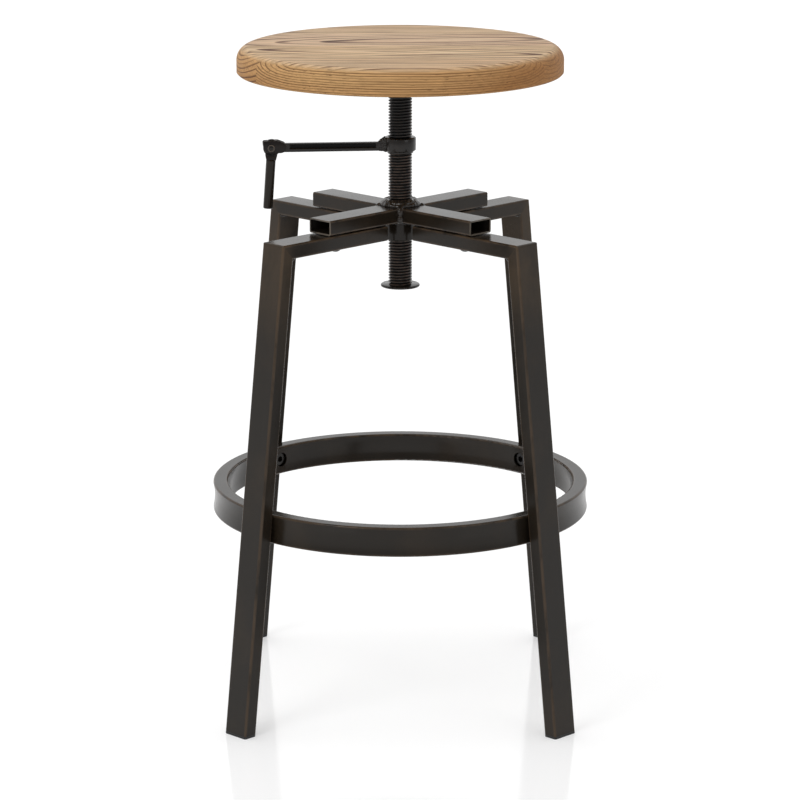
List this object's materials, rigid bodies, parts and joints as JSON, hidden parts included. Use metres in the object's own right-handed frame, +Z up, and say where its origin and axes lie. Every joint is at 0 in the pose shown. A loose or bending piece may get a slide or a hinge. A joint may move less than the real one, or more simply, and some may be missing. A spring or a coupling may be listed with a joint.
{
  "type": "bar stool",
  "caption": "Height-adjustable industrial bar stool: round board seat on a crank-turned screw in a welded hub, leaning flat-tube legs and a ring foot rest.",
  "frame": {"origin": "on the floor, under the axis of the screw", "axes": "+Z up; -Y is the front; the crank arm points to -X; the legs are on the diagonals"},
  "size_m": [0.387, 0.387, 0.675],
  "materials": {
    "seat_wood": "matte oiled, brown grain",
    "bronze_steel": "dark bronze powder coat, satin, rubbed brown at the edges",
    "black_steel": "blackened steel, satin",
    "thread_steel": "blackened and lightly oiled thread",
    "black_screw": "black oxide, satin",
    "zinc_steel": "zinc plated",
    "bearing_steel": "ground and polished",
    "foot_plastic": "black moulded"
  },
  "bodies": {
    "frame": {"hub_sleeve": "bronze_steel", "hub_welds": "bronze_steel", "cross_tube_front_left": "bronze_steel", "cross_tube_front_right": "bronze_steel", "cross_tube_rear_left": "bronze_steel", "cross_tube_rear_right": "bronze_steel", "leg_arm_front_left": "bronze_steel", "leg_arm_front_right": "bronze_steel", "leg_arm_rear_left": "bronze_steel", "leg_arm_rear_right": "bronze_steel", "leg_front_left": "bronze_steel", "leg_front_right": "bronze_steel", "leg_rear_left": "bronze_steel", "leg_rear_right": "bronze_steel", "knee_welds": "bronze_steel", "outer_leg_bolts": "black_screw", "inner_leg_bolts": "black_screw", "outer_inserts": "zinc_steel", "inner_inserts": "zinc_steel", "foot_ring": "bronze_steel", "ring_bolts": "black_screw", "ring_inserts": "zinc_steel", "foot_front_left": "foot_plastic", "foot_front_right": "foot_plastic", "foot_rear_left": "foot_plastic", "foot_rear_right": "foot_plastic"},
    "bearing": {"bearing_cage": "zinc_steel", "bearing_balls": "bearing_steel"},
    "screw": {"lift_screw": "thread_steel", "crank_collar": "black_steel", "crank_arm": "black_steel", "crank_weld": "black_steel", "crank_clevis": "black_steel", "grip_pin": "black_steel", "stop_washer": "black_steel", "stop_screw": "black_steel", "bearing_lower_race": "bearing_steel", "retaining_ring": "zinc_steel"},
    "grip": {"grip_tang": "black_steel", "grip_bar": "black_steel"},
    "seat": {"seat_board_front": "seat_wood", "seat_board_mid_front": "seat_wood", "seat_board_mid_rear": "seat_wood", "seat_board_rear": "seat_wood", "seat_plate": "bronze_steel", "bearing_cup": "bronze_steel", "wood_screws": "zinc_steel", "bearing_upper_race": "bearing_steel"}
  },
  "joints": [
    {"name": "seat_lift", "type": "slide", "parent": "frame", "child": "bearing", "axis": [0, 0, 1], "range_m": [-0.012, 0.045]},
    {"name": "screw_turn", "type": "hinge", "parent": "bearing", "child": "screw", "pos_m": [0, 0, 0.5], "axis": [0, 0, 1], "range_deg": [-1440, 5400]},
    {"name": "seat_swivel", "type": "hinge", "parent": "bearing", "child": "seat", "pos_m": [0, 0, 0.64], "axis": [0, 0, 1], "continuous": true},
    {"name": "grip_fold", "type": "hinge", "parent": "screw", "child": "grip", "pos_m": [-0.1305, -0.01142, 0.5731], "axis": [-0.0872, 0.9962, 0], "range_deg": [0, 180]}
  ],
  "couplings": [
    {"joint": "seat_lift", "follows": "screw_turn", "m_per_rad": 0.00047746}
  ]
}
